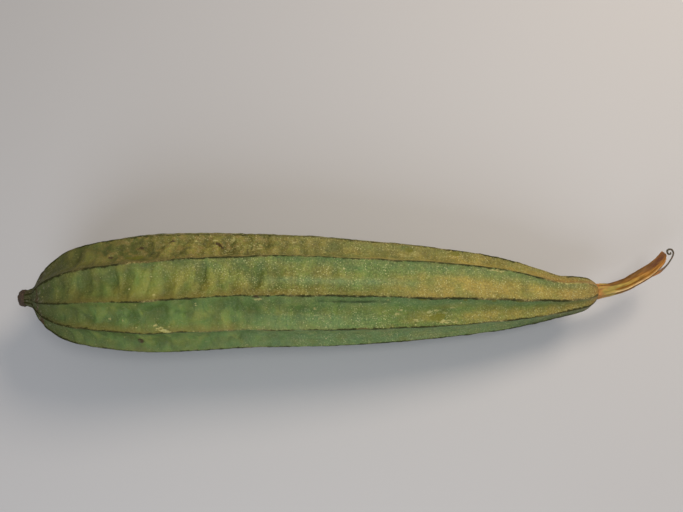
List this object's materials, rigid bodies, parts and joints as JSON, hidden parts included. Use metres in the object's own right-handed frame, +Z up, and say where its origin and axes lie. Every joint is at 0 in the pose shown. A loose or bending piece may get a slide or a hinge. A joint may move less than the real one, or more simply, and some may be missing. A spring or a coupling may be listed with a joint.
{
  "type": "sponge gourd",
  "caption": "Long ribbed green gourd with a dry curved stalk, as picked and lying on its side, for use as a vegetable or market prop.",
  "frame": {"origin": "middle of the bounding box in plan, at the surface that the fruit lies on", "axes": "+X along the fruit from the blossom end to the stalk, +Y to the side that the stalk bends towards, +Z up from the surface"},
  "size_m": [0.3828, 0.0712, 0.0681],
  "materials": {
    "ribbed_rind": "tough olive-green rind with bluish shaded flanks, dark rib crests, pale flecks and tan rub marks, satin",
    "dry_stalk": "half-dried ribbed stalk, yellow-green in the middle and orange-brown at its edges and ends, slightly waxy",
    "stalk_fibre": "thin dry brown plant fibre, matt",
    "dry_scar": "dry dark brown corky scar, matt"
  },
  "bodies": {
    "root": {"gourd": "ribbed_rind", "stalk": "dry_stalk", "peeled_fibre": "stalk_fibre", "blossom_scar": "dry_scar"}
  },
  "joints": []
}
